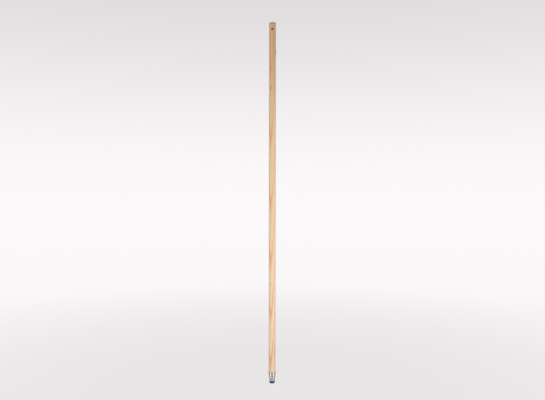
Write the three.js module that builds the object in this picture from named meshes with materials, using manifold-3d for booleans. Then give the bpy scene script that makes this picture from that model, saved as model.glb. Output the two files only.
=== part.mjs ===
// Roller extension pole: a turned wooden pole with a hanging hole at its top end and a ribbed,
// die-cast threaded tip at its bottom end, held on by two brads, with a small blank sticker.
// Millimetres, +Z along the pole, origin in the middle of the tip's end face.

import * as THREE from 'three';
import { mergeVertices } from 'three/addons/utils/BufferGeometryUtils.js';
import Module from 'manifold-3d';

const wasm = await Module();
wasm.setup();

// ---------------------------------------------------------------- driving dimensions

const CLEARANCE = 0.3; // gap between neighbouring pieces
const SINK = 0.5; // how far joined shapes run into each other

const POLE_LENGTH = 1219.2; // 48 in, tip included
const SHAFT_RADIUS = 11.9; // 15/16 in pole
const CROWN_RADIUS = 3.5; // rounding of the pole's top edge
const CROWN_STEPS = 5;
const SHAFT_SIDES = 48;

const HANG_HOLE_RADIUS = 4; // 5/16 in
const HANG_HOLE_DROP = 24; // hole's centre below the pole's top
const HANG_HOLE_YAW = THREE.MathUtils.degToRad(-3);
const HANG_HOLE_SIDES = 24;

const TIP_LENGTH = 38.1; // 1 1/2 in
const TIP_SIDES = 48;

const THREAD_LENGTH = 12.7; // 1/2 in of 3/4-5 Acme thread
const THREAD_MAJOR_RADIUS = 9.525;
const THREAD_PITCH = 5.08;
const THREAD_DEPTH = THREAD_PITCH / 2;
const THREAD_CREST = 0.3707 * THREAD_PITCH;
const THREAD_FLANK = THREE.MathUtils.degToRad(14.5);
const THREAD_STEPS_PER_TURN = 24;
const THREAD_MINOR_RADIUS = THREAD_MAJOR_RADIUS - THREAD_DEPTH;

const LEAD_IN_LENGTH = 4; // taper of the thread towards the end face
const END_CHAMFER = 1;
const END_RADIUS = 8.2;
const CHAMFER_RADIUS = 9;

const NECK_RADIUS = 9.8; // bottom of the tapered neck
const SHOULDER_BOTTOM = { radius: 11.3, z: 23.5 };
const SKIRT_BOTTOM = { radius: 12.75, z: 26 };
const RIM_CHAMFER = 0.4;

const RIB_COUNT = 8;
const RIB_HEIGHT = 0.8;
const RIB_WIDTH = 3.6;
const RIB_FADE_Z = THREAD_LENGTH + 1; // where a rib has run out into the neck

const SOCKET_RADIUS = 11.7; // bore of the skirt
const SOCKET_SHOULDER = { radius: 9.6, z: 23.6 };
const SOCKET_FLOOR = { radius: 7.6, z: 17.9 };
const SOCKET_SEAT_Z = 27;
const CORE_POCKET = { radius: 3.6, floor: 4 }; // cored hollow inside the thread

const BRAD_HEIGHT = 32; // above the end face
const BRAD_SHANK_RADIUS = 0.8;
const BRAD_HEAD_RADIUS = 1.7;
const BRAD_HEAD_THICKNESS = 0.5;
const BRAD_TIP_RADIUS = 4.6; // distance of the brad's point from the pole's axis
const BRAD_POINT_LENGTH = 1.4;
const BRAD_SIDES = 16;

const LABEL_HEIGHT = 24;
const LABEL_DROP = 87; // label's top edge below the pole's top
const LABEL_THICKNESS = 0.3;
const LABEL_START = THREE.MathUtils.degToRad(22); // from the front, towards +X
const LABEL_SPAN = THREE.MathUtils.degToRad(120);
const LABEL_STEPS = 20;

// ---------------------------------------------------------------- materials

const wood = new THREE.MeshStandardMaterial({ color: 0xe3c096, roughness: 0.55, metalness: 0 });
const zinc = new THREE.MeshStandardMaterial({ color: 0xb3b6b5, roughness: 0.38, metalness: 1 });
const steel = new THREE.MeshStandardMaterial({ color: 0xa6a6a4, roughness: 0.3, metalness: 1 });
const paper = new THREE.MeshStandardMaterial({ color: 0xc9c4ba, roughness: 0.6, metalness: 0 });

// ---------------------------------------------------------------- solids and meshes

/** Turns a closed geometry into a solid that can be cut and joined. */
function solid(geometry) {
  const bare = geometry.clone();
  bare.deleteAttribute('normal');
  bare.deleteAttribute('uv');
  const merged = mergeVertices(bare, 1e-4);
  const index = merged.index.array;
  const triVerts = [];
  for (let i = 0; i < index.length; i += 3) {
    const [a, b, c] = [index[i], index[i + 1], index[i + 2]];
    if (a !== b && b !== c && c !== a) {
      triVerts.push(a, b, c);
    }
  }
  return new wasm.Manifold(
    new wasm.Mesh({
      numProp: 3,
      vertProperties: new Float32Array(merged.attributes.position.array),
      triVerts: new Uint32Array(triVerts),
    }),
  );
}

/** Turns a solid back into a named mesh. */
function namedMesh(name, body, material) {
  const cut = body.getMesh();
  const geometry = new THREE.BufferGeometry();
  geometry.setAttribute('position', new THREE.BufferAttribute(cut.vertProperties, 3));
  geometry.setIndex(new THREE.BufferAttribute(cut.triVerts, 1));
  geometry.computeVertexNormals();
  const mesh = new THREE.Mesh(geometry, material);
  mesh.name = name;
  return mesh;
}

/** A body turned about Z from an outline of [radius, z] points that starts and ends on the axis. */
function turned(outline, sides) {
  const points = outline.map(([radius, z]) => new THREE.Vector2(radius, z));
  return solid(new THREE.LatheGeometry(points, sides).rotateX(Math.PI / 2));
}

/** A cylinder along X whose two ends stand at x0 and x1. */
function rodAlongX(x0, x1, radius0, radius1, z, sides) {
  const rod = new THREE.CylinderGeometry(radius1, radius0, x1 - x0, sides);
  rod.rotateZ(-Math.PI / 2);
  rod.translate((x0 + x1) / 2, 0, z);
  return solid(rod);
}

// ---------------------------------------------------------------- threaded tip

/** The hollow that takes the pole's end, open at the rim. */
function socket() {
  return turned(
    [
      [0, SOCKET_FLOOR.z],
      [SOCKET_FLOOR.radius, SOCKET_FLOOR.z],
      [SOCKET_SHOULDER.radius, SOCKET_SHOULDER.z],
      [SOCKET_RADIUS, SOCKET_SEAT_Z],
      [SOCKET_RADIUS, TIP_LENGTH + SINK],
      [0, TIP_LENGTH + SINK],
    ],
    TIP_SIDES,
  );
}

/** The cored hollow inside the thread, open into the socket. */
function corePocket() {
  return turned(
    [
      [0, CORE_POCKET.floor],
      [CORE_POCKET.radius, CORE_POCKET.floor],
      [CORE_POCKET.radius, SOCKET_FLOOR.z + SINK],
      [0, SOCKET_FLOOR.z + SINK],
    ],
    TIP_SIDES,
  );
}

/** One right-hand Acme ridge, wound round the core from below the end face into the neck. */
function threadRidge() {
  const base = THREAD_MINOR_RADIUS - SINK;
  const halfCrest = THREAD_CREST / 2;
  const halfBase = halfCrest + (THREAD_DEPTH + SINK) * Math.tan(THREAD_FLANK);
  const section = new THREE.Shape([
    new THREE.Vector2(base, -halfBase),
    new THREE.Vector2(THREAD_MAJOR_RADIUS, -halfCrest),
    new THREE.Vector2(THREAD_MAJOR_RADIUS, halfCrest),
    new THREE.Vector2(base, halfBase),
  ]);
  const turns = THREAD_LENGTH / THREAD_PITCH + 1;
  const bar = new THREE.ExtrudeGeometry(section, {
    depth: 1,
    steps: Math.ceil(turns * THREAD_STEPS_PER_TURN),
    bevelEnabled: false,
  });
  const position = bar.attributes.position;
  for (let i = 0; i < position.count; i += 1) {
    const along = (1 - position.getZ(i)) * turns; // from the far end, which keeps the faces pointing out
    const angle = along * 2 * Math.PI;
    const radius = position.getX(i);
    const z = position.getY(i) + (along - 0.5) * THREAD_PITCH;
    position.setXYZ(i, radius * Math.cos(angle), radius * Math.sin(angle), z);
  }
  return solid(bar);
}

/** The threaded nose: core and ridge, trimmed by the tapered lead-in at the end face. */
function threadedNose() {
  const top = THREAD_LENGTH + SINK;
  const core = turned([[0, 0], [THREAD_MINOR_RADIUS, 0], [THREAD_MINOR_RADIUS, top], [0, top]], TIP_SIDES);
  const envelope = turned(
    [
      [0, 0],
      [END_RADIUS, 0],
      [CHAMFER_RADIUS, END_CHAMFER],
      [THREAD_MAJOR_RADIUS, LEAD_IN_LENGTH],
      [THREAD_MAJOR_RADIUS, top],
      [0, top],
    ],
    TIP_SIDES,
  );
  return core.add(threadRidge()).intersect(envelope);
}

/** Neck, shoulder and skirt as one turned body. */
function ferrule() {
  return turned(
    [
      [0, THREAD_LENGTH],
      [NECK_RADIUS, THREAD_LENGTH],
      [SHOULDER_BOTTOM.radius, SHOULDER_BOTTOM.z],
      [SKIRT_BOTTOM.radius, SKIRT_BOTTOM.z],
      [SKIRT_BOTTOM.radius, TIP_LENGTH - RIM_CHAMFER],
      [SKIRT_BOTTOM.radius - RIM_CHAMFER, TIP_LENGTH],
      [0, TIP_LENGTH],
    ],
    TIP_SIDES,
  );
}

/** One rib, which follows neck, shoulder and skirt and runs out at the bottom of the neck. */
function rib(angle) {
  const shape = new THREE.Shape([
    new THREE.Vector2(NECK_RADIUS - SINK, RIB_FADE_Z),
    new THREE.Vector2(NECK_RADIUS + SINK / 2, RIB_FADE_Z),
    new THREE.Vector2(SHOULDER_BOTTOM.radius + RIB_HEIGHT, SHOULDER_BOTTOM.z),
    new THREE.Vector2(SKIRT_BOTTOM.radius + RIB_HEIGHT, SKIRT_BOTTOM.z),
    new THREE.Vector2(SKIRT_BOTTOM.radius + RIB_HEIGHT, TIP_LENGTH - RIB_HEIGHT),
    new THREE.Vector2(SKIRT_BOTTOM.radius - SINK, TIP_LENGTH - RIM_CHAMFER),
    new THREE.Vector2(SKIRT_BOTTOM.radius - SINK, SKIRT_BOTTOM.z),
    new THREE.Vector2(SHOULDER_BOTTOM.radius - SINK, SHOULDER_BOTTOM.z),
  ]);
  const bar = new THREE.ExtrudeGeometry(shape, { depth: RIB_WIDTH, bevelEnabled: false });
  bar.translate(0, 0, -RIB_WIDTH / 2);
  bar.rotateX(Math.PI / 2);
  bar.rotateZ(angle);
  return solid(bar);
}

function threadedTip() {
  let tip = ferrule().add(threadedNose());
  for (let i = 0; i < RIB_COUNT; i += 1) {
    tip = tip.add(rib(((i + 0.5) * 2 * Math.PI) / RIB_COUNT));
  }
  const reach = SKIRT_BOTTOM.radius + RIB_HEIGHT;
  const hole = BRAD_SHANK_RADIUS + CLEARANCE;
  const bradHoles = rodAlongX(-reach, reach, hole, hole, BRAD_HEIGHT, BRAD_SIDES);
  const body = tip.subtract(socket()).subtract(corePocket()).subtract(bradHoles);
  return namedMesh('threaded_tip', body, zinc);
}

// ---------------------------------------------------------------- wooden pole

/** Outline of the pole: a seat and taper inside the tip, the shaft, and a rounded crown. */
function poleOutline() {
  const seat = SOCKET_RADIUS - CLEARANCE;
  const outline = [
    [0, SOCKET_FLOOR.z + CLEARANCE],
    [SOCKET_FLOOR.radius - CLEARANCE, SOCKET_FLOOR.z + CLEARANCE],
    [SOCKET_SHOULDER.radius - CLEARANCE, SOCKET_SHOULDER.z + CLEARANCE],
    [seat, SOCKET_SEAT_Z + CLEARANCE],
    [seat, TIP_LENGTH + CLEARANCE],
    [SHAFT_RADIUS, TIP_LENGTH + CLEARANCE],
  ];
  for (let i = 0; i <= CROWN_STEPS; i += 1) {
    const angle = (i / CROWN_STEPS) * (Math.PI / 2);
    outline.push([
      SHAFT_RADIUS - CROWN_RADIUS * (1 - Math.cos(angle)),
      POLE_LENGTH - CROWN_RADIUS * (1 - Math.sin(angle)),
    ]);
  }
  outline.push([0, POLE_LENGTH]);
  return outline;
}

function poleShaft() {
  const length = 2 * SHAFT_RADIUS + 2 * SINK;
  const drill = new THREE.CylinderGeometry(HANG_HOLE_RADIUS, HANG_HOLE_RADIUS, length, HANG_HOLE_SIDES);
  drill.rotateZ(HANG_HOLE_YAW);
  drill.translate(0, 0, POLE_LENGTH - HANG_HOLE_DROP);
  const hole = BRAD_SHANK_RADIUS + CLEARANCE;
  const inner = BRAD_TIP_RADIUS - CLEARANCE;
  const outer = SHAFT_RADIUS + SINK;
  const body = turned(poleOutline(), SHAFT_SIDES)
    .subtract(solid(drill))
    .subtract(rodAlongX(inner, outer, hole, hole, BRAD_HEIGHT, BRAD_SIDES))
    .subtract(rodAlongX(-outer, -inner, hole, hole, BRAD_HEIGHT, BRAD_SIDES));
  return namedMesh('pole_shaft', body, wood);
}

// ---------------------------------------------------------------- brads and sticker

/** A brad driven inwards through the skirt into the wood, from the +X or the -X side. */
function brad(name, side) {
  const headBase = SKIRT_BOTTOM.radius + CLEARANCE;
  const shankEnd = BRAD_TIP_RADIUS + BRAD_POINT_LENGTH;
  const outline = [
    [0, BRAD_TIP_RADIUS],
    [BRAD_SHANK_RADIUS, shankEnd],
    [BRAD_SHANK_RADIUS, headBase],
    [BRAD_HEAD_RADIUS, headBase],
    [BRAD_HEAD_RADIUS, headBase + BRAD_HEAD_THICKNESS / 2],
    [BRAD_HEAD_RADIUS / 2, headBase + BRAD_HEAD_THICKNESS],
    [0, headBase + BRAD_HEAD_THICKNESS],
  ];
  const mesh = namedMesh(name, turned(outline, BRAD_SIDES), steel);
  mesh.rotation.y = (side * Math.PI) / 2;
  mesh.position.z = BRAD_HEIGHT;
  return mesh;
}

/** A sheet of paper wrapped part of the way round the shaft. */
function shaftLabel() {
  const inner = SHAFT_RADIUS + CLEARANCE;
  const outer = inner + LABEL_THICKNESS;
  const start = LABEL_START - Math.PI / 2;
  const shape = new THREE.Shape();
  shape.absarc(0, 0, outer, start, start + LABEL_SPAN, false);
  shape.absarc(0, 0, inner, start + LABEL_SPAN, start, true);
  const sheet = new THREE.ExtrudeGeometry(shape, {
    depth: LABEL_HEIGHT,
    curveSegments: LABEL_STEPS,
    bevelEnabled: false,
  });
  const mesh = namedMesh('shaft_label', solid(sheet), paper);
  mesh.position.z = POLE_LENGTH - LABEL_DROP - LABEL_HEIGHT;
  return mesh;
}

// ---------------------------------------------------------------- assembly

const tipAssembly = new THREE.Group();
tipAssembly.add(threadedTip());
tipAssembly.add(brad('tip_brad_right', 1));
tipAssembly.add(brad('tip_brad_left', -1));

const pole = new THREE.Group();
pole.add(poleShaft());
pole.add(tipAssembly);
pole.add(shaftLabel());

export default pole;
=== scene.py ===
"""Roller extension pole: the looks of a turned wooden pole with a ribbed, threaded cast tip.

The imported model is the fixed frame, and every place and main size is read from it. The pole, the
tip and the brads are turned by Geometry Nodes from outlines worked out here; the sticker is a sheet
wrapped on the wood. Units are metres, +Z runs along the pole from the threaded end, -Y is the front.
"""

import logging
import math
from dataclasses import dataclass
from enum import Enum
from typing import Any, Callable, Sequence

import bmesh
import bpy
import numpy as np
from mathutils import Matrix, Vector


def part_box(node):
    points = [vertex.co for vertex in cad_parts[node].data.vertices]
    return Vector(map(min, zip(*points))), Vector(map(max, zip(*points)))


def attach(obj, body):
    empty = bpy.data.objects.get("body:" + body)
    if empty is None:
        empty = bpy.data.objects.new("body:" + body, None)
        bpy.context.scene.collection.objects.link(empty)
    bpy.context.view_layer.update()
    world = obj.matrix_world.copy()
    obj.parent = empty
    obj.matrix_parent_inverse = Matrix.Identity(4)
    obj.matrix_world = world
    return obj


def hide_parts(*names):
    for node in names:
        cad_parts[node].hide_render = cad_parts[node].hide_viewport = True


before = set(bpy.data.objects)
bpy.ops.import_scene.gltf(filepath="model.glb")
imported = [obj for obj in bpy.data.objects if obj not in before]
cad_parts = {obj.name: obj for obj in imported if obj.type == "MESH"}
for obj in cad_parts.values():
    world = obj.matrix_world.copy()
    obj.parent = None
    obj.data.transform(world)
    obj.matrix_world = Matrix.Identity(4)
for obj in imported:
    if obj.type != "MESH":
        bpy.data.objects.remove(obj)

LOG = logging.getLogger("roller_extension_pole")
MM = 0.001
FULL_TURN = 2 * math.pi
ARC_STEPS = 7
LARGEST_BEND = 0.48
SMALLEST_ANGLE = 0.01
LONG_STRETCH = 20
ROW_SLACK = 1.01
SEAM_REACH = 0.002 * MM
DRILL_SIDES = 64
Colour = tuple[float, float, float]
Pair = tuple[float, float]
Triple = tuple[float, float, float]
Material = bpy.types.Material
Object = bpy.types.Object
Socket = bpy.types.NodeSocket


# ---- node trees


class NodeNet:
    """A node tree with short calls that add a node, feed its inputs and return its output."""

    def __init__(self, tree: bpy.types.NodeTree) -> None:
        """Wrap the tree that nodes are added to."""
        self.tree = tree

    def feed(self, socket: Socket, value: Any) -> None:
        """Feed an input.

        Args:
            socket: the input.
            value: another node's output to link, or a plain value to set.
        """
        if isinstance(value, Socket):
            self.tree.links.new(value, socket)
        else:
            socket.default_value = value

    def node(self, kind: str, inputs: dict[Any, Any] | None = None, **settings: Any) -> bpy.types.Node:
        """Add a node.

        Args:
            kind: the node's type name.
            inputs: what feeds each input, by its name or number.
            settings: the node's own properties.

        Returns:
            The new node.
        """
        made = self.tree.nodes.new(kind)
        for name, value in settings.items():
            setattr(made, name, value)
        for key, value in (inputs or {}).items():
            self.feed(made.inputs[key], value)
        return made

    def math(self, operation: str, *values: Any) -> Socket:
        """Return the result of a Math node's operation on sockets and numbers."""
        return self.node("ShaderNodeMath", dict(enumerate(values)), operation=operation).outputs[0]

    def plus(self, first: Any, second: Any) -> Socket:
        """Return the sum of two values."""
        return self.math("ADD", first, second)

    def less(self, first: Any, second: Any) -> Socket:
        """Return the first value less the second."""
        return self.math("SUBTRACT", first, second)

    def over(self, first: Any, second: Any) -> Socket:
        """Return the first value divided by the second."""
        return self.math("DIVIDE", first, second)

    def times(self, first: Any, second: Any) -> Socket:
        """Return the product of two values."""
        return self.math("MULTIPLY", first, second)

    def linear(self, value: Any, factor: Any, start: Any) -> Socket:
        """Return a value times a factor, plus a start."""
        return self.math("MULTIPLY_ADD", value, factor, start)

    def squares(self, first: Any, second: Any) -> Socket:
        """Return the sum of the squares of two values."""
        return self.plus(self.times(first, first), self.times(second, second))

    def away(self, first: Any, second: Any) -> Socket:
        """Return how far off zero two values are together."""
        return self.math("SQRT", self.squares(first, second))

    def step(self, value: Any, low: Any, high: Any, start: Any = 0.0, end: Any = 1.0) -> Socket:
        """Return a smooth step of a value: start at and below low, end at and above high."""
        inputs = {0: value, 1: low, 2: high, 3: start, 4: end}
        return self.node("ShaderNodeMapRange", inputs, interpolation_type="SMOOTHSTEP").outputs[0]

    def mix(self, factor: Any, first: Any, second: Any) -> Socket:
        """Return a mix of two colours, where the factor is the share of the second."""
        pair = [(*c, 1.0) if isinstance(c, tuple) else c for c in (first, second)]
        return self.node("ShaderNodeMix", {0: factor, 6: pair[0], 7: pair[1]}, data_type="RGBA").outputs[2]

    def noise(self, vector: Any, scale: float, detail: float = 2.0, roughness: float = 0.5) -> Socket:
        """Return a noise texture at a vector, with its finer layers' number and strength."""
        inputs = {"Vector": vector, "Scale": scale, "Detail": detail, "Roughness": roughness}
        return self.node("ShaderNodeTexNoise", inputs).outputs[0]

    def split(self, vector: Any) -> tuple[Socket, ...]:
        """Return a vector's X, Y and Z."""
        return tuple(self.node("ShaderNodeSeparateXYZ", {0: vector}).outputs)

    def join(self, x: Any, y: Any, z: Any) -> Socket:
        """Return the vector of three numbers."""
        return self.node("ShaderNodeCombineXYZ", {0: x, 1: y, 2: z}).outputs[0]

    def scaled(self, vector: Any, x: float, y: float, z: float) -> Socket:
        """Return a vector stretched by its own factor along each axis."""
        made = self.node("ShaderNodeVectorMath", {0: vector, 1: (x, y, z)}, operation="MULTIPLY")
        return made.outputs[0]


class Coat(NodeNet):
    """A new material: its nodes, its Principled shader and the piece's own place in millimetres."""

    def __init__(self, name: str) -> None:
        """Make an empty material of the given name."""
        self.material = bpy.data.materials.new(name)
        self.material.use_nodes = True
        super().__init__(self.material.node_tree)
        self.shader = self.tree.nodes["Principled BSDF"]
        place = self.node("ShaderNodeTexCoord").outputs["Object"]
        self.place = self.scaled(place, 1 / MM, 1 / MM, 1 / MM)
        self.x, self.y, self.z = self.split(self.place)

    def dress(self, inputs: dict[str, Any], relief: Any = 0.0, depth: float = 0.0) -> Material:
        """Feed the shader and raise its surface.

        Args:
            inputs: what feeds the shader, by input name.
            relief: the surface's height field, between 0 and 1.
            depth: how far 1 stands above 0, in metres.

        Returns:
            The finished material.
        """
        if depth:
            bump = {"Strength": 1.0, "Distance": depth, "Height": relief}
            inputs["Normal"] = self.node("ShaderNodeBump", bump).outputs[0]
        for name, value in inputs.items():
            self.feed(self.shader.inputs[name], value)
        return self.material


# ---- finishes


@dataclass(frozen=True)
class WoodMark:
    """A dark fleck or streak in the wood, with its place and half sizes."""

    height: float
    azimuth: float
    length: float
    width: float
    strength: float


@dataclass(frozen=True)
class Streaks:
    """A layer of streaks along the grain: how it is stretched and where it darkens the wood."""

    across: float
    along: float
    detail: float
    roughness: float
    low: float
    high: float
    strength: float

    def noise(self, coat: Coat) -> Socket:
        """Return the layer's noise."""
        stretched = coat.scaled(coat.place, self.across, self.across, self.along)
        return coat.noise(stretched, 1.0, self.detail, self.roughness)

    def darkening(self, coat: Coat, noise: Socket) -> Socket:
        """Return how strongly the layer darkens the wood, from its noise."""
        return coat.step(noise, self.low, self.high, 0.0, self.strength)


@dataclass(frozen=True)
class WoodFinish:
    """Bare, sanded softwood sawn from near the bark, so that its rings crop out as tall arches.

    Lengths are in millimetres and angles in degrees from the front.
    """

    # the colour drifts up the pole from the pale colour low down to the darker, redder colour at the top:
    # partly the wood's own tone, partly painted light low down and painted shade towards the top
    pale: Colour = (0.775, 0.590, 0.418)
    middle: Colour = (0.720, 0.525, 0.315)
    heart_tone_and_top_shade: Colour = (0.585, 0.375, 0.215)
    late: Colour = (0.580, 0.345, 0.170)
    dark: Colour = (0.260, 0.130, 0.055)
    # painted shade in the hanging hole: the colour that its wall and rim are darkened towards
    bore_shade: Colour = (0.400, 0.185, 0.060)
    middle_heights: Pair = (380.0, 760.0)
    ring_width: float = 6.7
    pith_distance: float = 45.0
    pith_slope: float = 0.035
    pith_bow: float = 1.6
    bow_span: float = 763.0
    bow_start: float = 92.0
    bark_azimuth: float = -27.0
    ring_wobble: float = 1.5
    wobble_stretch: Triple = (0.05, 0.05, 0.009)
    ring_seed: float = 24.5
    late_rise: Pair = (0.35, 0.93)
    late_stop: Pair = (0.95, 1.0)
    late_power: float = 2.4
    late_share: float = 0.90
    fibre: Streaks = Streaks(2.6, 0.035, 4.0, 0.65, 0.36, 0.74, 0.36)
    hair: Streaks = Streaks(9.0, 0.16, 2.0, 0.5, 0.45, 0.75, 0.22)
    cloud: Streaks = Streaks(0.06, 0.012, 2.0, 0.5, 0.35, 0.75, 0.14)
    canals: Streaks = Streaks(4.0, 0.12, 1.0, 0.5, 0.70, 0.80, 0.35)
    hole_height: float = 1195.2
    hole_radius: float = 4.0
    # reach past the hole's radius, and strength, of the painted shade in and round the hanging hole
    hole_shade_reach: Pair = (0.2, 1.6)
    hole_shade_share: float = 0.85
    top_height: float = 1219.2
    # the band below the top where painted shade darkens the rounded crown, and its strength
    crown_shade_band: Pair = (9.0, 3.0)
    crown_shade_share: float = 0.34
    end_facing: Pair = (0.55, 0.95)
    end_noise_share: float = 0.22
    end_late_share: float = 0.40
    roughness: Pair = (0.46, 0.60)
    bore_roughness: float = 0.25
    relief: float = 0.09 * MM
    mark_edge: Pair = (0.1, 1.3)
    marks: tuple[WoodMark, ...] = (
        WoodMark(106.0, 43.0, 33.0, 7.5, 0.62),
        WoodMark(335.0, -25.0, 2.5, 24.0, 0.25),
        WoodMark(997.0, -24.0, 11.0, 16.0, 0.40),
        WoodMark(1061.0, -24.0, 9.0, 15.0, 0.28),
        WoodMark(1195.0, 20.0, 260.0, 17.0, 0.30),
    )

    def late_wood(self, coat: Coat) -> Socket:
        """Find the late wood: each ring darkens slowly and stops short at the next one.

        Args:
            coat: the material being made.

        Returns:
            The share of late wood.
        """
        azimuth = math.radians(self.bark_azimuth)
        along = coat.over(coat.less(coat.z, self.bow_start), self.bow_span / math.pi)
        bow = coat.times(coat.math("SINE", along), self.pith_bow)
        distance = coat.plus(coat.linear(coat.z, self.pith_slope, self.pith_distance), bow)
        to_x = coat.linear(distance, math.sin(azimuth), coat.x)
        to_y = coat.linear(distance, -math.cos(azimuth), coat.y)
        stretched = coat.scaled(coat.place, *self.wobble_stretch)
        inputs = {"Vector": stretched, "W": self.ring_seed, "Scale": 1.0, "Detail": 3.0}
        wobble = coat.node("ShaderNodeTexNoise", inputs, noise_dimensions="4D").outputs[0]
        radius = coat.linear(coat.less(wobble, 0.5), 2 * self.ring_wobble, coat.away(to_x, to_y))
        share = coat.math("FRACT", coat.over(radius, self.ring_width))
        rising = coat.math("POWER", coat.step(share, *self.late_rise), self.late_power)
        return coat.times(rising, coat.step(share, *self.late_stop, 1.0, 0.0))

    def spot(self, coat: Coat, mark: WoodMark) -> Socket:
        """Lay one mark on the wood.

        Args:
            coat: the material being made.
            mark: the mark.

        Returns:
            A mask of its soft oval, as strong as the mark is.
        """
        degrees = coat.math("DEGREES", coat.math("ARCTAN2", coat.x, coat.times(coat.y, -1.0)))
        across = coat.over(coat.less(degrees, mark.azimuth), mark.width)
        along = coat.over(coat.less(coat.z, mark.height), mark.length)
        oval = coat.step(coat.squares(across, along), *self.mark_edge, 1.0, 0.0)
        return coat.times(oval, mark.strength)

    def darkened_by_marks_and_shade(self, coat: Coat, colour: Any, late: Any) -> Socket:
        """Darken clean wood with its marks, with painted shade on the rounded crown just below the top,
        and with its end grain.

        Args:
            coat: the material being made.
            colour: the clean wood's colour.
            late: the share of late wood.

        Returns:
            The darkened colour.
        """
        normal = coat.node("ShaderNodeNewGeometry").outputs["Normal"]
        end_grain = coat.step(coat.split(normal)[2], *self.end_facing)
        side_grain = coat.less(1.0, end_grain)
        # painted shade: a band just below the top darkens the rounded crown's sides
        low, high = (self.top_height - below for below in self.crown_shade_band)
        crown_shade = coat.step(coat.z, low, high, 0.0, self.crown_shade_share)
        for spot in (*(self.spot(coat, mark) for mark in self.marks), crown_shade):
            colour = coat.mix(coat.times(spot, side_grain), colour, self.dark)
        cut_ends = coat.linear(coat.noise(coat.place, 1.4, 3.0, 0.7), self.end_noise_share, -0.02)
        cut_ends = coat.linear(late, self.end_late_share, cut_ends)
        return coat.mix(coat.times(cut_ends, end_grain), colour, self.dark)

    def material(self) -> Material:
        """Make the wood's material.

        Returns:
            The material.
        """
        coat = Coat("pale_pine")
        late = self.late_wood(coat)
        fibre, hair, cloud = (layer.noise(coat) for layer in (self.fibre, self.hair, self.cloud))
        canals = self.canals.darkening(coat, self.canals.noise(coat))
        # painted shade: the hanging hole's wall and a narrow band round its rim are darkened towards the
        # bore colour
        start, end = (self.hole_radius + reach for reach in self.hole_shade_reach)
        from_hole = coat.away(coat.x, coat.less(coat.z, self.hole_height))
        drilled = coat.step(from_hole, start, end, 1.0, 0.0)
        # painted light and shade along the pole, with the wood's own tone: paler low down, darker and
        # redder towards the top
        colour = coat.mix(coat.step(coat.z, *self.middle_heights), self.pale, self.middle)
        top_tone_and_shade = coat.step(coat.z, self.middle_heights[1], self.top_height)
        colour = coat.mix(top_tone_and_shade, colour, self.heart_tone_and_top_shade)
        colour = coat.mix(coat.times(late, self.late_share), colour, self.late)
        for layer, noise in ((self.fibre, fibre), (self.hair, hair), (self.cloud, cloud)):
            colour = coat.mix(layer.darkening(coat, noise), colour, self.late)
        colour = self.darkened_by_marks_and_shade(coat, coat.mix(canals, colour, self.dark), late)
        # the painted shade of the hanging hole is laid on here
        colour = coat.mix(coat.times(drilled, self.hole_shade_share), colour, self.bore_shade)
        rough = coat.linear(drilled, self.bore_roughness, coat.step(fibre, 0.3, 0.7, *self.roughness))
        relief = coat.times(late, 0.35)
        for layer, weight in ((fibre, 0.45), (hair, 0.20), (canals, -0.5)):
            relief = coat.linear(layer, weight, relief)
        inputs = {"Base Color": colour, "Roughness": rough, "Specular IOR Level": 0.4}
        return coat.dress(inputs, relief, self.relief)


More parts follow.
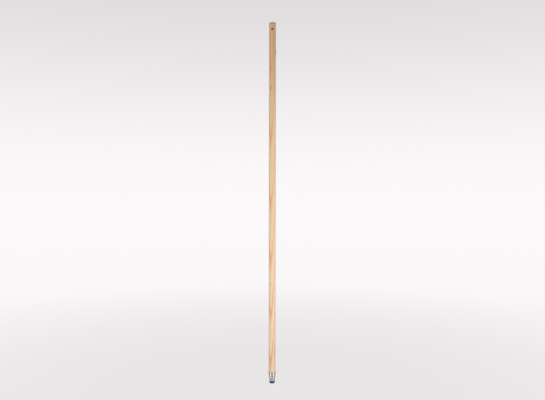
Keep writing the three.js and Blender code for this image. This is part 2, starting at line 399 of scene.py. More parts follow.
@dataclass(frozen=True)
class CastZincFinish:
    """Die-cast zinc alloy: satin from the die with random dull patches, duller in the roots than on the
    crests, which are painted brighter partly as rubbed wear and partly as painted highlight, and with
    painted shade at the threaded end.

    Lengths are in millimetres.
    """

    # the crests' colour: partly rubbed wear, partly painted highlight
    worn_and_highlight: Colour = (0.860, 0.870, 0.870)
    bright: Colour = (0.560, 0.570, 0.572)
    dull: Colour = (0.270, 0.278, 0.280)
    # painted shade at the threaded end: a near-black band over the lowest turns of the thread, with its
    # height, edge, metal and roughness below
    dark: Colour = (0.022, 0.022, 0.021)
    end_shade_height: float = 6.9
    end_shade_edge: float = 0.35
    ragged: float = 0.6
    ribs: int = 8
    rib_reach: float = 1.9
    rib_start: float = 14.0
    rib_rise: float = 3.0
    crest_radius: float = 9.1
    crest_rise: float = 0.3
    crest_wear_and_highlight: float = 0.7
    dulled: Pair = (0.55, 0.95)
    scuffed: float = 0.35
    end_shade_metal: float = 0.2
    roughness: Pair = (0.42, 0.54)
    worn_polish: float = -0.06
    end_shade_roughness: float = 0.15
    relief: float = 0.08 * MM

    def proud(self, coat: Coat) -> Socket:
        """Work out where the casting stands proud, where it is painted brighter partly as rubbed wear and
        partly as painted highlight.

        Args:
            coat: the material being made.

        Returns:
            A mask of the ribs' crests and of the thread's crest.
        """
        radius = coat.away(coat.x, coat.y)
        turn = coat.over(coat.math("ARCTAN2", coat.y, coat.x), FULL_TURN)
        cell = coat.math("FRACT", coat.times(coat.plus(turn, 1.0), float(self.ribs)))
        share = coat.math("ABSOLUTE", coat.less(cell, 0.5))
        off = coat.times(share, coat.times(radius, FULL_TURN / self.ribs))
        rib = coat.step(off, 0.7 * self.rib_reach, self.rib_reach, 1.0, 0.0)
        rib = coat.times(rib, coat.step(coat.z, self.rib_start, self.rib_start + self.rib_rise))
        crest = coat.step(radius, self.crest_radius, self.crest_radius + self.crest_rise)
        below = coat.step(coat.z, self.rib_start - 2.0, self.rib_start - 1.0, self.crest_wear_and_highlight, 0.0)
        return coat.math("MAXIMUM", rib, coat.times(crest, below))

    def material(self) -> Material:
        """Make the casting's material.

        Returns:
            The material.
        """
        coat = Coat("cast_zinc")
        grain = coat.noise(coat.place, 1.6, 3.0, 0.6)
        cloud = coat.noise(coat.place, 0.22)
        proud = self.proud(coat)
        # painted shade at the threaded end: the end mask covers the thread below a ragged height
        height = coat.linear(grain, self.ragged, coat.less(coat.z, self.ragged / 2))
        end = coat.step(height, self.end_shade_height - self.end_shade_edge, self.end_shade_height, 1.0, 0.0)
        scratches = coat.noise(coat.scaled(coat.place, 1.0, 1.0, 3.0), 1.1, 3.0)
        scuffs = coat.step(scratches, 0.62, 0.70, 0.0, self.scuffed)
        colour = coat.mix(coat.step(cloud, 0.3, 0.75, *self.dulled), self.bright, self.dull)
        # rib and thread crests painted brighter: partly rubbed wear, partly painted highlight
        rubbed = coat.times(proud, coat.step(grain, 0.2, 0.55, 0.6, 1.0))
        colour = coat.mix(rubbed, colour, self.worn_and_highlight)
        # the painted shade is laid on here, broken only by scuffs, and made less metallic and rougher
        colour = coat.mix(coat.times(end, coat.less(1.0, scuffs)), colour, self.dark)
        metal = coat.linear(end, self.end_shade_metal - 1.0, 1.0)
        rough = coat.linear(proud, self.worn_polish, coat.step(grain, 0.3, 0.7, *self.roughness))
        rough = coat.linear(end, self.end_shade_roughness, rough)
        inputs = {"Base Color": colour, "Metallic": metal, "Roughness": rough}
        return coat.dress(inputs, coat.linear(cloud, 0.6, grain), self.relief)


@dataclass(frozen=True)
class WireSteelFinish:
    """Plain drawn steel with a hammered, slightly tarnished head."""

    bright: Colour = (0.560, 0.555, 0.540)
    tarnish: Colour = (0.300, 0.270, 0.230)
    tarnished: float = 0.7
    roughness: Pair = (0.28, 0.5)
    relief: float = 0.04 * MM

    def material(self) -> Material:
        """Make the brads' material.

        Returns:
            The material.
        """
        coat = Coat("wire_steel")
        spots = coat.noise(coat.place, 1.8, 3.0, 0.6)
        colour = coat.mix(coat.step(spots, 0.45, 0.75, 0.0, self.tarnished), self.bright, self.tarnish)
        rough = coat.step(spots, 0.3, 0.8, *self.roughness)
        inputs = {"Base Color": colour, "Metallic": 1.0, "Roughness": rough}
        return coat.dress(inputs, spots, self.relief)


@dataclass(frozen=True)
class StickerFinish:
    """Coated paper with a field of plain printed bars and a clear margin."""

    paper: Colour = (0.540, 0.490, 0.430)
    panel: Colour = (0.410, 0.320, 0.235)
    ink: Colour = (0.110, 0.095, 0.085)
    margin: float = 0.045
    bars: float = 34.0
    bar_gap: float = 0.6
    bar_centre: float = 0.58
    bar_half: float = 0.30
    rubbed: Pair = (0.72, 0.92)
    roughness: Pair = (0.42, 0.55)
    relief: float = 0.02 * MM

    @staticmethod
    def within(coat: Coat, value: Any, centre: float, half: float) -> Socket:
        """Return 1 where a value lies within a half width of a centre, or else 0."""
        return coat.math("LESS_THAN", coat.math("ABSOLUTE", coat.less(value, centre)), half)

    def material(self) -> Material:
        """Make the sticker's material.

        Returns:
            The material.
        """
        coat = Coat("sticker_paper")
        u, v, _ = coat.split(coat.node("ShaderNodeTexCoord").outputs["UV"])
        panel = coat.times(*(self.within(coat, side, 0.5, 0.5 - self.margin) for side in (u, v)))
        number = coat.math("FLOOR", coat.times(v, self.bars))
        chance = coat.node("ShaderNodeTexWhiteNoise", {"W": number}, noise_dimensions="1D")
        bar = coat.math("GREATER_THAN", chance.outputs["Value"], self.bar_gap)
        bar = coat.times(bar, self.within(coat, u, self.bar_centre, self.bar_half))
        rubbed = coat.step(coat.noise(coat.place, 0.7, 3.0, 0.6), 0.3, 0.5, *self.rubbed)
        fibres = coat.noise(coat.place, 5.0)
        colour = coat.mix(coat.times(panel, rubbed), self.paper, self.panel)
        colour = coat.mix(coat.times(coat.times(bar, panel), rubbed), colour, self.ink)
        rough = coat.step(fibres, 0.3, 0.7, *self.roughness)
        return coat.dress({"Base Color": colour, "Roughness": rough}, fibres, self.relief)


@dataclass(frozen=True)
class FloorFinish:
    """A plain pale floor that runs out into the light of the backdrop."""

    near: Colour = (0.820, 0.805, 0.825)
    glow: Colour = (0.930, 0.907, 0.912)
    glow_near: float = 0.62
    fade: Pair = (200.0, 2700.0)

    def material(self) -> Material:
        """Make the floor's material.

        Returns:
            The material.
        """
        coat = Coat("pale_floor")
        far = coat.step(coat.away(coat.x, coat.y), *self.fade)
        inputs = {
            "Base Color": coat.mix(far, self.near, (0.0, 0.0, 0.0)),
            "Roughness": 0.7,
            "Specular IOR Level": 0.1,
            "Emission Color": (*self.glow, 1.0),
            "Emission Strength": coat.linear(far, 1.0 - self.glow_near, self.glow_near),
        }
        return coat.dress(inputs)


# ---- turned shapes


@dataclass(frozen=True)
class Corner:
    """A corner of a turned outline: its distance from the axis, its height and its rounding."""

    radius: float
    height: float
    rounding: float = 0.0


def rounded_outline(corners: Sequence[Corner], spacing: Callable[[Vector], float]) -> np.ndarray:
    """Join corners by straight stretches and rounded bends.

    Args:
        corners: the outline's corners in order, starting and ending on the axis.
        spacing: the longest step allowed at a place, which is given as radius and height.

    Returns:
        The outline's points, as rows of radius and height.
    """
    places = [Vector((c.radius, c.height)) for c in corners]
    points = [places[0]]
    for before, corner, after, shape in zip(places, places[1:], places[2:], corners[1:]):
        back, ahead = before - corner, after - corner
        reach = shape.rounding / math.tan(max(back.angle(ahead), SMALLEST_ANGLE) / 2)
        reach = min(reach, LARGEST_BEND * back.length, LARGEST_BEND * ahead.length)
        if shape.rounding == 0:
            points.append(corner)
            continue
        start, end = corner + back.normalized() * reach, corner + ahead.normalized() * reach
        for share in np.linspace(0, 1, ARC_STEPS):
            points.append(start * (1 - share) ** 2 + corner * 2 * share * (1 - share) + end * share**2)
    points.append(places[-1])
    rows = [points[0]]
    for start, end in zip(points, points[1:]):
        count = max(1, math.ceil((end - start).length / spacing((start + end) / 2)))
        if (end - start).length > LONG_STRETCH * min(spacing(start), spacing(end)):
            while (end - rows[-1]).length > ROW_SLACK * spacing(rows[-1]):
                rows.append(rows[-1] + (end - start).normalized() * spacing(rows[-1]))
            rows.append(end)
            continue
        rows.extend(start.lerp(end, i / count) for i in range(1, count + 1))
    return np.array([(p.x, p.y) for p in rows])


class TurningTree:
    """Geometry Nodes that turn an outline about Z, with what repeats round it as named inputs."""

    def __init__(self, name: str, sizes: dict[str, float]) -> None:
        """Start a tree.

        Args:
            name: the tree's name.
            sizes: its named inputs and their values, besides the outline, the sides and the material.
        """
        self.tree = bpy.data.node_groups.new(name, "GeometryNodeTree")
        self.net = NodeNet(self.tree)
        self.source = self.net.node("NodeGroupInput")
        self.identifiers: dict[str, str] = {}
        self.outline = self.input("Outline", "NodeSocketGeometry")
        self.sides = self.input("Sides", "NodeSocketInt")
        self.material = self.input("Material", "NodeSocketMaterial")
        self.tree.interface.new_socket(name="Mesh", in_out="OUTPUT", socket_type="NodeSocketGeometry")
        self.sizes = sizes
        self.inputs = [self.input(size) for size in sizes]

    def input(self, name: str, kind: str = "NodeSocketFloat") -> Socket:
        """Add a named input to the tree.

        Args:
            name: the input's name.
            kind: its socket type.

        Returns:
            The socket that carries it inside the tree.
        """
        made = self.tree.interface.new_socket(name=name, in_out="INPUT", socket_type=kind)
        self.identifiers[name] = made.identifier
        return self.source.outputs[name]

    def sampled(self, value: Any, row: Any) -> Socket:
        """Return a value of the outline's point that a row was turned from."""
        inputs = {"Geometry": self.outline, "Value": value, "Index": row}
        return self.net.node("GeometryNodeSampleIndex", inputs, data_type="FLOAT").outputs[0]

    def attribute(self, name: str, row: Any) -> Socket:
        """Return a named number of the outline's point that a row was turned from."""
        read = self.net.node("GeometryNodeInputNamedAttribute", {"Name": name}, data_type="FLOAT")
        return self.sampled(read.outputs["Attribute"], row)

    def grid(self) -> tuple[Socket, Socket, Socket]:
        """Lay out one column of points for each side and one row for each point of the outline.

        Returns:
            The grid, each point's angle and its row number.
        """
        net = self.net
        size = net.node("GeometryNodeAttributeDomainSize", {0: self.outline}, component="MESH")
        count = size.outputs["Point Count"]
        columns = net.plus(self.sides, 1)
        inputs = {"Size X": 1.0, "Size Y": 1.0, "Vertices X": columns, "Vertices Y": count}
        grid = net.node("GeometryNodeMeshGrid", inputs).outputs[0]
        index = net.node("GeometryNodeInputIndex").outputs[0]
        column = net.math("FLOOR", net.over(net.plus(index, 0.5), count))
        row = net.less(index, net.times(column, count))
        angle = net.times(net.over(column, self.sides), FULL_TURN)
        return grid, angle, row

    def outline_place(self, row: Any) -> tuple[Socket, Socket]:
        """Return the outline's radius and height at a row."""
        x, _, z = self.net.split(self.net.node("GeometryNodeInputPosition").outputs[0])
        return self.sampled(x, row), self.sampled(z, row)

    def turn(self, grid: Any, angle: Any, radius: Any, height: Any) -> Socket:
        """Wrap the grid round the axis and close its seam and poles.

        Args:
            grid: the flat grid.
            angle: each point's angle.
            radius: each point's distance from the axis.
            height: each point's height.

        Returns:
            The closed mesh.
        """
        net = self.net
        x = net.times(radius, net.math("COSINE", angle))
        y = net.times(radius, net.math("SINE", angle))
        inputs = {"Geometry": grid, "Position": net.join(x, y, height)}
        turned = net.node("GeometryNodeSetPosition", inputs).outputs[0]
        inputs = {"Geometry": turned, "Distance": SEAM_REACH}
        return net.node("GeometryNodeMergeByDistance", inputs).outputs[0]

    def drill(self, mesh: Any, radius: Any, depth: float, height: Any, tilt: Triple) -> Socket:
        """Drill a hole right through the mesh.

        Args:
            mesh: the mesh to drill.
            radius: the hole's radius.
            depth: the drill's length.
            height: the hole's height on the axis.
            tilt: how the drill is turned from +Z, in radians.

        Returns:
            The drilled mesh.
        """
        net = self.net
        inputs = {"Vertices": DRILL_SIDES, "Radius": radius, "Depth": depth}
        bit = net.node("GeometryNodeMeshCylinder", inputs).outputs[0]
        inputs = {"Geometry": bit, "Translation": net.join(0.0, 0.0, height), "Rotation": tilt}
        aimed = net.node("GeometryNodeTransform", inputs).outputs[0]
        cut = net.node("GeometryNodeMeshBoolean", operation="DIFFERENCE", solver="EXACT")
        net.feed(cut.inputs[0], mesh)
        net.feed(cut.inputs[1], aimed)
        return cut.outputs[0]

    def close(self, mesh: Any, crease: float = 38.0) -> None:
        """Shade the mesh, give it its material and hand it out.

        Args:
            mesh: the finished mesh.
            crease: the angle between faces above which an edge stays sharp, in degrees.
        """
        net = self.net
        inputs = {"Geometry": mesh, "Shade Smooth": True}
        smooth = net.node("GeometryNodeSetShadeSmooth", inputs, domain="FACE").outputs[0]
        angle = net.node("GeometryNodeInputMeshEdgeAngle").outputs[0]
        sharp = net.math("GREATER_THAN", angle, math.radians(crease))
        inputs = {"Geometry": smooth, "Selection": sharp, "Shade Smooth": False}
        creased = net.node("GeometryNodeSetShadeSmooth", inputs, domain="EDGE").outputs[0]
        real = net.node("GeometryNodeRealizeInstances", {"Geometry": creased}).outputs[0]
        inputs = {"Geometry": real, "Material": self.material}
        net.node("NodeGroupOutput", {0: net.node("GeometryNodeSetMaterial", inputs).outputs[0]})

    def make(
        self, name: str, outline: np.ndarray, sides: int, material: Material, **weights: np.ndarray
    ) -> Object:
        """Run the tree on an outline.

        Args:
            name: the new object's name.
            outline: rows of radius and height.
            sides: the number of sides round the axis.
            material: the object's material.
            weights: numbers for each point of the outline, by attribute name.

        Returns:
            A plain mesh object at the origin.
        """
        line = bpy.data.meshes.new(name + "_outline")
        points = [(r, 0.0, z) for r, z in outline]
        line.from_pydata(points, [(i, i + 1) for i in range(len(points) - 1)], [])
        for attribute, numbers in weights.items():
            line.attributes.new(attribute, "FLOAT", "POINT").data.foreach_set("value", numbers)
        carrier = placed(line.name, line)
        modifier = carrier.modifiers.new("turning", "NODES")
        modifier.node_group = self.tree
        values = {"Sides": sides, "Material": material, **self.sizes}
        for key, value in values.items():
            modifier[self.identifiers[key]] = value
        return finished(name, carrier)


def placed(name: str, data: bpy.types.ID) -> Object:
    """Put a mesh, a lamp or a camera in the scene.

    Args:
        name: the new object's name.
        data: what the object shows.

    Returns:
        The new object, at the origin.
    """
    made = bpy.data.objects.new(name, data)
    bpy.context.scene.collection.objects.link(made)
    return made


def finished(name: str, carrier: Object) -> Object:
    """Turn what an object's modifier makes into a plain mesh with its faces outwards.

    Args:
        name: the piece's name.
        carrier: the object with the modifier, which is removed.

    Returns:
        The new object, at the origin.
    """
    evaluated = carrier.evaluated_get(bpy.context.evaluated_depsgraph_get())
    mesh = bpy.data.meshes.new_from_object(evaluated)
    bpy.data.objects.remove(carrier)
    shape = bmesh.new()
    shape.from_mesh(mesh)
    if shape.calc_volume(signed=True) < 0:
        bmesh.ops.reverse_faces(shape, faces=shape.faces)
    shape.to_mesh(mesh)
    shape.free()
    mesh.name = name
    return placed(name, mesh)


# ---- sub-assemblies


@dataclass
class Piece:
    """What every sub-assembly shares: the body it rides on and how it is declared."""

    body: str = "root"

    def declare(self, piece: Object, node: str, slot: str) -> None:
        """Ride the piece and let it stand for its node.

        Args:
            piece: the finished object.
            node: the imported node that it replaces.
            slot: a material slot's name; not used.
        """
        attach(piece, self.body)
        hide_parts(node)
        LOG.info("%s: %d faces, for %s", piece.name, len(piece.data.polygons), node)


@dataclass
class WoodenPole(Piece):
    """The turned pole: a seat and taper for the tip, the shaft, the hanging hole and the crown."""

    node: str = "pole_shaft"
    sides: int = 160
    seat_clearance: float = 0.3 * MM
    crown: float = 3.5 * MM
    stub_radius: float = 7.3 * MM
    shoulder: Pair = (9.3 * MM, 23.9 * MM)
    seat: Pair = (11.4 * MM, 27.3 * MM)
    hole_radius: float = 4.0 * MM
    hole_drop: float = 24.0 * MM
    hole_yaw: float = -3.0
    rim_width: float = 1.0 * MM
    rim_depth: float = 0.35 * MM
    rim_reach: float = 0.4 * MM
    ripples_per_metre: float = 22.0
    ripple: float = 0.05 * MM
    row_step: float = 6.0 * MM
    fine_step: float = 0.45 * MM
    fine_reach: float = 8.5 * MM
    finish: WoodFinish = WoodFinish()

    def __post_init__(self) -> None:
        """Read the pole's radius, bottom and top from the frame."""
        low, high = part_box(self.node)
        self.radius = high.x
        self.bottom, self.top = low.z, high.z
        self.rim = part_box("threaded_tip")[1].z
        self.hole_height = self.top - self.hole_drop

    def outline(self) -> np.ndarray:
        """Lay out the pole's outline, with close rows round the hanging hole.

        Returns:
            Rows of radius and height.
        """
        start = self.rim + self.seat_clearance
        corners = [
            Corner(0.0, self.bottom),
            Corner(self.stub_radius, self.bottom, 0.5 * MM),
            Corner(*self.shoulder, 1.0 * MM),
            Corner(*self.seat, 1.0 * MM),
            Corner(self.seat[0], start, 0.0),
            Corner(self.radius, start, 0.25 * MM),
            Corner(self.radius, self.top, self.crown),
            Corner(0.0, self.top),
        ]
        return rounded_outline(corners, self.spacing)

    def spacing(self, place: Vector) -> float:
        """Return the longest step at a place: fine near the hanging hole."""
        near = abs(place.y - self.hole_height) < self.hole_radius + self.fine_reach
        return self.fine_step if near else self.row_step

    def tree(self) -> TurningTree:
        """Build the nodes that turn the pole, ripple it, drill it and ease the hole's rim.

        Returns:
            The node tree.
        """
        sizes = {
            "Ripple Height": 2 * self.ripple,
            "Hole Radius": self.hole_radius,
            "Hole Height": self.hole_height,
            "Rim Width": self.rim_width,
            "Rim Depth": self.rim_depth,
        }
        made = TurningTree("turned_pole", sizes)
        net = made.net
        ripple, hole, height, rim_width, rim_depth = made.inputs
        grid, angle, row = made.grid()
        radius, z = made.outline_place(row)
        weight = made.attribute("shaft", row)
        cosine, sine = net.math("COSINE", angle), net.math("SINE", angle)
        around = net.join(cosine, sine, net.times(z, self.ripples_per_metre))
        wave = net.less(net.noise(around, 1.1, 2.0), 0.5)
        wave = net.times(net.times(wave, weight), ripple)
        mesh = made.turn(grid, angle, net.plus(radius, wave), z)
        tilt = (math.pi / 2, 0.0, math.radians(self.hole_yaw))
        drilled = made.drill(mesh, hole, 4 * self.radius, height, tilt)
        place = net.node("GeometryNodeInputPosition").outputs[0]
        x, y, up = net.split(place)
        drop = net.less(up, height)
        sideways = net.linear(y, math.tan(math.radians(self.hole_yaw)), x)
        away = net.away(sideways, drop)
        edge = net.plus(hole, rim_width)
        sink = net.step(away, hole, edge, rim_depth, 0.0)
        outside = net.math("GREATER_THAN", net.away(x, y), self.radius - self.rim_reach)
        near = net.times(outside, net.math("LESS_THAN", away, edge))
        inward = net.times(net.math("SIGN", y), net.times(sink, -1.0))
        inputs = {"Geometry": drilled, "Selection": near, "Offset": net.join(0.0, inward, 0.0)}
        made.close(net.node("GeometryNodeSetPosition", inputs).outputs[0])
        return made

    def build(self) -> None:
        """Make the pole and dress it."""
        outline = self.outline()
        shaft = (outline[:, 0] > self.radius - 0.01 * MM).astype(np.float32)
        wood = self.finish.material()
        piece = self.tree().make("wooden_pole", outline, self.sides, wood, shaft=shaft)
        self.declare(piece, self.node, "wood")


@dataclass
class CastTip(Piece):
    """The cast tip: a hollow skirt with ribs, a shoulder, a tapered neck and an Acme thread."""

    node: str = "threaded_tip"
    sides: int = 288
    skirt_radius: float = 12.75 * MM
    skirt_bottom: float = 26.0 * MM
    shoulder: Pair = (11.3 * MM, 23.5 * MM)
    neck_radius: float = 9.8 * MM
    thread_length: float = 12.7 * MM
    major_radius: float = 9.525 * MM
    pitch: float = 5.08 * MM
    flank: float = 14.5
    crest_share: float = 0.3707
    lead_in: float = 4.0 * MM
    end_radius: float = 8.2 * MM
    chamfer: Pair = (9.0 * MM, 1.0 * MM)
    ribs: int = 8
    rib_height: float = 0.78 * MM
    rib_crest: float = 2.4 * MM
    rib_side: float = 0.75 * MM
    rib_start: float = 0.4 * MM
    rib_end: Pair = (0.9 * MM, 0.2 * MM)
    rib_swell: float = 0.7
    flute_depth: float = 0.35 * MM
    socket_radius: float = 11.7 * MM
    socket_seat: float = 27.0 * MM
    socket_shoulder: Pair = (9.6 * MM, 23.6 * MM)
    socket_floor: Pair = (7.6 * MM, 17.9 * MM)
    pocket: Pair = (3.6 * MM, 4.0 * MM)
    brad_height: float = 32.0 * MM
    brad_hole: float = 1.1 * MM
    row_step: float = 0.4 * MM
    fine_step: float = 0.12 * MM
    hidden_step: float = 1.4 * MM
    crease: float = 70.0
    finish: CastZincFinish = CastZincFinish()

    def __post_init__(self) -> None:
        """Read the tip's length from the frame."""
        self.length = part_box(self.node)[1].z
        self.depth = self.pitch / 2
        self.minor_radius = self.major_radius - self.depth

    def outline(self) -> np.ndarray:
        """Lay out the tip's outline: up the outside, over the rim and down the hollow.

        Returns:
            Rows of radius and height.
        """
        corners = [
            Corner(0.0, 0.0),
            Corner(self.minor_radius, 0.0, 0.5 * MM),
            Corner(self.minor_radius, self.thread_length, 0.5 * MM),
            Corner(self.neck_radius, self.thread_length, 0.5 * MM),
            Corner(*self.shoulder, 0.9 * MM),
            Corner(self.skirt_radius, self.skirt_bottom, 1.2 * MM),
            Corner(self.skirt_radius, self.length, 0.45 * MM),
            Corner(self.socket_radius, self.length, 0.25 * MM),
            Corner(self.socket_radius, self.socket_seat, 0.8 * MM),
            Corner(*self.socket_shoulder, 0.8 * MM),
            Corner(*self.socket_floor, 0.6 * MM),
            Corner(self.pocket[0], self.socket_floor[1], 0.3 * MM),
            Corner(*self.pocket, 0.8 * MM),
            Corner(0.0, self.pocket[1]),
        ]
        return rounded_outline(corners, self.spacing)

    def spacing(self, place: Vector) -> float:
        """Return the longest step at a place: fine on the thread, coarse on the end face and inside.

        Args:
            place: the place on the outline, as radius and height.

        Returns:
            The longest step allowed there.
        """
        cut = 0 < place.y < self.thread_length + self.row_step
        if cut and place.x > self.minor_radius - self.row_step:
            return self.fine_step
        hidden = place.x < self.neck_radius - self.row_step / 4
        return self.hidden_step if hidden else self.row_step

    def limit(self, height: np.ndarray) -> np.ndarray:
        """Return how far out the thread may stand at each height, along its tapered lead-in."""
        heights = (0.0, self.chamfer[1], self.lead_in)
        return np.interp(height, heights, (self.end_radius, self.chamfer[0], self.major_radius))

    def fade(self, height: np.ndarray) -> np.ndarray:
        """Shape a rib along the tip: rising from the neck to the shoulder and ending at the rim.

        Args:
            height: the heights to shape it at.

        Returns:
            The rib's share of its full height.
        """
        low, high = self.thread_length + self.rib_start, self.shoulder[1]
        rise = np.clip((height - low) / (high - low), 0, 1) ** self.rib_swell
        full, none = (self.length - below for below in self.rib_end)
        return rise * np.clip((none - height) / (none - full), 0, 1)

    def tree(self) -> TurningTree:
        """Build the nodes that turn the tip and raise its ribs and its thread.

        Returns:
            The node tree.
        """
        sizes = {
            "Rib Count": float(self.ribs),
            "Rib Height": self.rib_height,
            "Rib Crest": self.rib_crest,
            "Rib Side": self.rib_side,
            "Flute Depth": self.flute_depth,
            "Thread Pitch": self.pitch,
            "Thread Depth": self.depth,
            "Half Crest": self.crest_share * self.pitch / 2,
            "Flank Run": self.depth * math.tan(math.radians(self.flank)),
            "Minor Radius": self.minor_radius,
            "Brad Height": self.brad_height,
            "Brad Hole": self.brad_hole,
        }
        made = TurningTree("ribbed_threaded_tip", sizes)
        net = made.net
        ribs, rib_height, crest, side, flute, *rest = made.inputs
        pitch, depth, half_crest, flank_run, minor, brad_height, brad_hole = rest
        grid, angle, row = made.grid()
        radius, height = made.outline_place(row)
        turn = net.over(angle, FULL_TURN)
        cell = net.math("FRACT", net.times(turn, ribs))
        share = net.math("ABSOLUTE", net.less(cell, 0.5))
        arc = net.times(net.over(FULL_TURN, ribs), radius)
        away = net.times(share, arc)
        half = net.over(crest, 2.0)
        rib = net.step(away, half, net.plus(half, side), rib_height, 0.0)
        hollow = net.step(away, half, net.over(arc, 2.0), 0.0, flute)
        raised = net.times(net.less(rib, hollow), made.attribute("rib", row))
        phase = net.less(net.over(height, pitch), turn)
        off = net.math("ABSOLUTE", net.less(net.math("FRACT", phase), 0.5))
        off = net.times(off, pitch)
        ridge = net.step(off, half_crest, net.plus(half_crest, flank_run), depth, 0.0)
        thread = net.math("MINIMUM", net.plus(minor, ridge), made.attribute("limit", row))
        shaped = net.plus(net.math("MAXIMUM", radius, thread), raised)
        mesh = made.turn(grid, angle, shaped, height)
        along_x = (0.0, math.pi / 2, 0.0)
        mesh = made.drill(mesh, brad_hole, 4 * self.skirt_radius, brad_height, along_x)
        made.close(mesh, self.crease)
        return made

    def build(self) -> None:
        """Make the tip and dress it."""
        outline = self.outline()
        radius, height = outline.T
        outside = np.arange(len(outline)) <= int(np.argmax(height))
        threaded = outside & (height < self.thread_length - 0.01 * MM)
        threaded &= radius > 0.8 * self.minor_radius
        limit = np.where(threaded, self.limit(height), 0.0).astype(np.float32)
        fade = np.where(outside, self.fade(height), 0.0).astype(np.float32)
        zinc = self.finish.material()
        piece = self.tree().make("cast_tip", outline, self.sides, zinc, limit=limit, rib=fade)
        self.declare(piece, self.node, "tip_casting")


class BradSide(Enum):
    """The side that a brad is driven in from, as its quarter turns about Y from +Z."""

    RIGHT = 1
    LEFT = -1

    @property
    def node(self) -> str:
        """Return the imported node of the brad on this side."""
        return f"tip_brad_{self.name.lower()}"


@dataclass
class TipBrads(Piece):
    """The two brads that pin the skirt to the wood."""

    sides: int = 48
    shank_radius: float = 0.8 * MM
    head_radius: float = 1.7 * MM
    head_seat: float = 12.5 * MM
    point: float = 1.4 * MM
    finish: WireSteelFinish = WireSteelFinish()

    def outline(self, inner: float, outer: float) -> np.ndarray:
        """Lay out a brad's outline from its point to the crown of its head.

        Args:
            inner: how far from the tip's axis the point is.
            outer: how far from the tip's axis the head's crown is.

        Returns:
            Rows of radius and height.
        """
        corners = [
            Corner(0.0, inner),
            Corner(self.shank_radius, inner + self.point, 0.2 * MM),
            Corner(self.shank_radius, self.head_seat, 0.1 * MM),
            Corner(self.head_radius, self.head_seat, 0.12 * MM),
            Corner(self.head_radius, outer - 0.25 * MM, 0.2 * MM),
            Corner(0.55 * self.head_radius, outer, 0.7 * MM),
            Corner(0.0, outer),
        ]
        return rounded_outline(corners, lambda _: 0.3 * MM)

    def build(self) -> None:
        """Make both brads, each along its own side's axis."""
        tree = TurningTree("turned_brad", {})
        grid, angle, row = tree.grid()
        tree.close(tree.turn(grid, angle, *tree.outline_place(row)))
        steel = self.finish.material()
        for side in BradSide:
            low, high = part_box(side.node)
            reach = sorted((abs(low.x), abs(high.x)))
            name = side.node.replace("tip_", "steel_")
            piece = tree.make(name, self.outline(*reach), self.sides, steel)
            turn = Matrix.Rotation(side.value * math.pi / 2, 4, "Y")
            piece.data.transform(Matrix.Translation((0, 0, (low.z + high.z) / 2)) @ turn)
            self.declare(piece, side.node, "brad_steel")


@dataclass
class ShaftSticker(Piece):
    """The small paper sticker near the top, wrapped on the right-hand side of the wood."""

    node: str = "shaft_label"
    lift: float = 0.09 * MM
    thickness: float = 0.1 * MM
    curl: float = 0.7 * MM
    curl_share: float = 0.2
    corner: float = 2.0 * MM
    start: float = 22.0
    span: float = 120.0
    columns: int = 96
    rows: int = 72
    finish: StickerFinish = StickerFinish()

    def flat(self, width: float, height: float) -> np.ndarray:
        """Lay out the sheet flat, with its corners drawn in to arcs.

        Args:
            width: the sheet's width.
            height: the sheet's height.

        Returns:
            The points, from the middle of the sheet, as rows of across and up.
        """
        steps = (np.linspace(-0.5, 0.5, count) for count in (self.columns, self.rows))
        points = np.stack([grid.ravel() for grid in np.meshgrid(*steps, indexing="ij")], axis=1)
        points *= (width, height)
        centre = np.array([width / 2 - self.corner, height / 2 - self.corner])
        beyond = np.clip(np.abs(points) - centre, 0, None)
        length = np.maximum(np.hypot(*beyond.T), 1e-9)
        keep = np.where(beyond.min(axis=1) > 0, beyond.max(axis=1) / length, 1.0)[:, None]
        return np.sign(points) * (np.minimum(np.abs(points), centre) + beyond * keep)

    def build(self) -> None:
        """Make the sheet, wrap it on the shaft, lift one corner and dress it."""
        low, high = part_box(self.node)
        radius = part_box("pole_shaft")[1].x + self.lift
        width, height = math.radians(self.span) * radius, high.z - low.z
        points = self.flat(width, height)
        share = points / np.array([width, height]) + 0.5
        into_corner = share[:, 0] - share[:, 1] - 1 + self.curl_share
        out = radius + self.curl * np.clip(into_corner / self.curl_share, 0, 1) ** 2
        angle = np.radians(self.start - 90 + self.span * share[:, 0])
        up = (low.z + high.z) / 2 + points[:, 1]
        places = np.stack([out * np.cos(angle), out * np.sin(angle), up], axis=1)
        starts = (i * self.rows + j for i in range(self.columns - 1) for j in range(self.rows - 1))
        faces = [(k, k + self.rows, k + self.rows + 1, k + 1) for k in starts]
        mesh = bpy.data.meshes.new(self.node)
        mesh.from_pydata(places.tolist(), [], faces)
        layer = mesh.uv_layers.new(name="sheet")
        for loop in mesh.loops:
            layer.data[loop.index].uv = share[loop.vertex_index]
        for polygon in mesh.polygons:
            polygon.use_smooth = True
        mesh.materials.append(self.finish.material())
        sheet = placed("sheet", mesh)
        thick = sheet.modifiers.new("thickness", "SOLIDIFY")
        thick.thickness, thick.offset = self.thickness, 1.0
        self.declare(finished("paper_sticker", sheet), self.node, "label_paper")


# ---- studio


class SoftBox(Enum):
    """The studio's lamps: place, size, strength in watts and colour."""

    RIGHT = ((0.85, -0.80, 0.36), (0.5, 0.7), 7.1, (1.0, 0.985, 0.97))
    LEFT = ((-0.95, -0.80, 0.36), (0.5, 0.7), 5.0, (0.98, 0.985, 1.0))
    BACK = ((0.7, 1.5, 0.7), (1.0, 1.2), 2.0, (1.0, 1.0, 1.0))


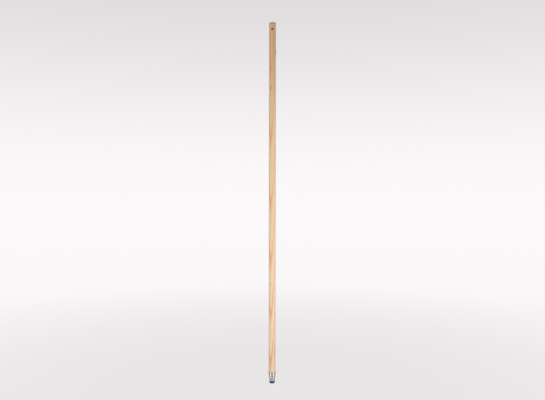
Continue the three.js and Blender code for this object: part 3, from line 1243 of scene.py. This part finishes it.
@dataclass
class Studio:
    """Plain pale floor, soft lamps, a pale surround and the camera."""

    eye_height: float = 0.619
    distance: float = 2.0
    shift_right: float = 0.0006
    roll: float = -0.08
    focal_pixels: float = 590.0
    image_width: float = 545.0
    sensor: float = 36.0
    floor_radius: float = 30.0
    floor_sides: int = 96
    backdrop_low: Colour = (0.962, 0.940, 0.950)
    backdrop_high: Colour = (0.715, 0.695, 0.700)
    ceiling: Colour = (0.130, 0.130, 0.135)
    finish: FloorFinish = FloorFinish()

    def floor(self) -> Object:
        """Lay the floor under the tip's end face.

        Returns:
            The floor.
        """
        mesh = bpy.data.meshes.new("floor")
        shape = bmesh.new()
        rim = {"segments": self.floor_sides, "radius": self.floor_radius}
        bmesh.ops.create_circle(shape, cap_ends=True, cap_tris=True, **rim)
        shape.to_mesh(mesh)
        shape.free()
        mesh.materials.append(self.finish.material())
        made = placed("floor", mesh)
        return made

    def lamps(self, floor: Object) -> None:
        """Hang the soft boxes, each facing the pole and flagged off the floor.

        Args:
            floor: the floor, which the soft boxes leave unlit so that no pool of light lies on it.
        """
        flagged = bpy.data.collections.new("flagged_off")
        flagged.objects.link(floor)
        flagged.collection_objects[0].light_linking.link_state = "EXCLUDE"
        for box in SoftBox:
            place, size, watts, colour = box.value
            lamp = bpy.data.lights.new(f"softbox_{box.name.lower()}", "AREA")
            lamp.shape, lamp.size, lamp.size_y = "RECTANGLE", *size
            lamp.energy, lamp.color = watts, colour
            made = placed(lamp.name, lamp)
            made.location = place
            towards = Vector((0, 0, place[2])) - Vector(place)
            made.rotation_euler = towards.to_track_quat("-Z", "Y").to_euler()
            made.light_linking.receiver_collection = flagged

    def surround(self) -> None:
        """Make a pale surround that is brightest at eye level."""
        world = bpy.data.worlds.new("surround")
        world.use_nodes = True
        net = NodeNet(world.node_tree)
        background = world.node_tree.nodes["Background"]
        up = net.split(net.node("ShaderNodeTexCoord").outputs["Generated"])[2]
        wall = net.mix(net.step(up, 0.0, 0.40), self.backdrop_low, self.backdrop_high)
        sky = net.mix(net.step(up, 0.32, 0.6), wall, self.ceiling)
        net.feed(background.inputs["Color"], sky)
        bpy.context.scene.world = world

    def camera(self) -> None:
        """Set the camera level with the middle of the pole."""
        data = bpy.data.cameras.new("camera")
        data.sensor_width = self.sensor
        data.lens = self.focal_pixels / self.image_width * self.sensor
        made = placed("camera", data)
        made.location = (self.shift_right, -self.distance, self.eye_height)
        made.rotation_euler = (math.pi / 2, math.radians(self.roll), 0.0)
        bpy.context.scene.camera = made

    def build(self) -> None:
        """Set up the whole studio."""
        bpy.context.scene.view_settings.view_transform = "Standard"
        self.camera()
        self.lamps(self.floor())
        self.surround()


def main() -> None:
    logging.basicConfig(level=logging.INFO, format="%(name)s: %(message)s")
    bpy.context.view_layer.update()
    Studio().build()
    for assembly in (WoodenPole(), CastTip(), TipBrads(), ShaftSticker()):
        assembly.build()


if __name__ == "__main__":
    main()
